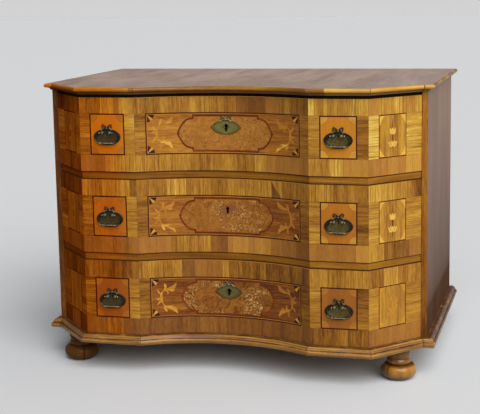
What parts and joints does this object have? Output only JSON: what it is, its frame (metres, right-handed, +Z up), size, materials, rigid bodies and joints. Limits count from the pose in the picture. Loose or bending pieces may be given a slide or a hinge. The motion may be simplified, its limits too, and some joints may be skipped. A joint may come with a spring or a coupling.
{
  "type": "chest of drawers",
  "caption": "Baroque chest of three drawers with canted wings, a hollow front with inlaid panels, bail pulls, moulded top and base, and turned ball feet.",
  "frame": {"origin": "on the floor under the middle of the chest's bounding box", "axes": "+X to the right seen from the front, +Y towards the back, +Z up; the drawers open towards -Y"},
  "size_m": [1.212, 0.834, 0.865],
  "materials": {
    "front_veneer": "satin, sawn walnut and plum veneers with inlay",
    "side_veneer": "satin, faded walnut",
    "top_veneer": "satin, faded walnut",
    "rail_walnut": "satin",
    "moulding_walnut": "satin, worn at the edges",
    "turned_walnut": "gloss",
    "pine": "bare planed softwood",
    "pull_bronze": "dark patina",
    "key_brass": "greenish patina",
    "lock_iron": "forged, dull"
  },
  "bodies": {
    "case": {"bottom_board": "pine", "back_boards": "pine", "runners_left": "pine", "runners_right": "pine", "kickers": "pine", "drawer_stops": "pine", "side_panel_left": "side_veneer", "side_panel_right": "side_veneer", "top_board": "top_veneer", "drawer_rail_lower": "rail_walnut", "drawer_rail_upper": "rail_walnut", "top_rail": "rail_walnut", "top_moulding": "moulding_walnut", "base_moulding": "moulding_walnut", "foot_front_left": "turned_walnut", "foot_front_right": "turned_walnut", "foot_back_left": "turned_walnut", "foot_back_right": "turned_walnut"},
    "top_drawer": {"top_drawer_front": "front_veneer", "top_drawer_side_left": "pine", "top_drawer_side_right": "pine", "top_drawer_back": "pine", "top_drawer_bottom": "pine", "top_lock_case": "lock_iron", "top_pull_nuts": "lock_iron", "top_pull_plate_left": "pull_bronze", "top_pull_plate_right": "pull_bronze", "top_pull_posts": "pull_bronze", "top_key_plate": "key_brass"},
    "top_bolt": {"top_lock_bolt": "lock_iron"},
    "top_bail_left": {"top_bail_left": "pull_bronze"},
    "top_bail_right": {"top_bail_right": "pull_bronze"},
    "middle_drawer": {"middle_drawer_front": "front_veneer", "middle_drawer_side_left": "pine", "middle_drawer_side_right": "pine", "middle_drawer_back": "pine", "middle_drawer_bottom": "pine", "middle_lock_case": "lock_iron", "middle_pull_nuts": "lock_iron", "middle_pull_plate_left": "pull_bronze", "middle_pull_plate_right": "pull_bronze", "middle_pull_posts": "pull_bronze"},
    "middle_bolt": {"middle_lock_bolt": "lock_iron"},
    "middle_bail_left": {"middle_bail_left": "pull_bronze"},
    "middle_bail_right": {"middle_bail_right": "pull_bronze"},
    "bottom_drawer": {"bottom_drawer_front": "front_veneer", "bottom_drawer_side_left": "pine", "bottom_drawer_side_right": "pine", "bottom_drawer_back": "pine", "bottom_drawer_bottom": "pine", "bottom_lock_case": "lock_iron", "bottom_pull_nuts": "lock_iron", "bottom_pull_plate_left": "pull_bronze", "bottom_pull_plate_right": "pull_bronze", "bottom_pull_posts": "pull_bronze", "bottom_key_plate": "key_brass"},
    "bottom_bolt": {"bottom_lock_bolt": "lock_iron"},
    "bottom_bail_left": {"bottom_bail_left": "pull_bronze"},
    "bottom_bail_right": {"bottom_bail_right": "pull_bronze"}
  },
  "joints": [
    {"name": "top_drawer_slide", "type": "slide", "parent": "case", "child": "top_drawer", "axis": [0, -1, 0], "range_m": [0, 0.48]},
    {"name": "top_bolt_slide", "type": "slide", "parent": "top_drawer", "child": "top_bolt", "axis": [0, 0, 1], "range_m": [0, 0.0075]},
    {"name": "top_bail_left_hinge", "type": "hinge", "parent": "top_drawer", "child": "top_bail_left", "pos_m": [-0.346, -0.403, 0.732], "axis": [-1, 0, 0], "range_deg": [0, 110]},
    {"name": "top_bail_right_hinge", "type": "hinge", "parent": "top_drawer", "child": "top_bail_right", "pos_m": [0.346, -0.403, 0.732], "axis": [-1, 0, 0], "range_deg": [0, 110]},
    {"name": "middle_drawer_slide", "type": "slide", "parent": "case", "child": "middle_drawer", "axis": [0, -1, 0], "range_m": [0, 0.48]},
    {"name": "middle_bolt_slide", "type": "slide", "parent": "middle_drawer", "child": "middle_bolt", "axis": [0, 0, 1], "range_m": [0, 0.0075]},
    {"name": "middle_bail_left_hinge", "type": "hinge", "parent": "middle_drawer", "child": "middle_bail_left", "pos_m": [-0.346, -0.403, 0.486], "axis": [-1, 0, 0], "range_deg": [0, 110]},
    {"name": "middle_bail_right_hinge", "type": "hinge", "parent": "middle_drawer", "child": "middle_bail_right", "pos_m": [0.346, -0.403, 0.486], "axis": [-1, 0, 0], "range_deg": [0, 110]},
    {"name": "bottom_drawer_slide", "type": "slide", "parent": "case", "child": "bottom_drawer", "axis": [0, -1, 0], "range_m": [0, 0.48]},
    {"name": "bottom_bolt_slide", "type": "slide", "parent": "bottom_drawer", "child": "bottom_bolt", "axis": [0, 0, 1], "range_m": [0, 0.0075]},
    {"name": "bottom_bail_left_hinge", "type": "hinge", "parent": "bottom_drawer", "child": "bottom_bail_left", "pos_m": [-0.346, -0.403, 0.237], "axis": [-1, 0, 0], "range_deg": [0, 110]},
    {"name": "bottom_bail_right_hinge", "type": "hinge", "parent": "bottom_drawer", "child": "bottom_bail_right", "pos_m": [0.346, -0.403, 0.237], "axis": [-1, 0, 0], "range_deg": [0, 110]}
  ]
}
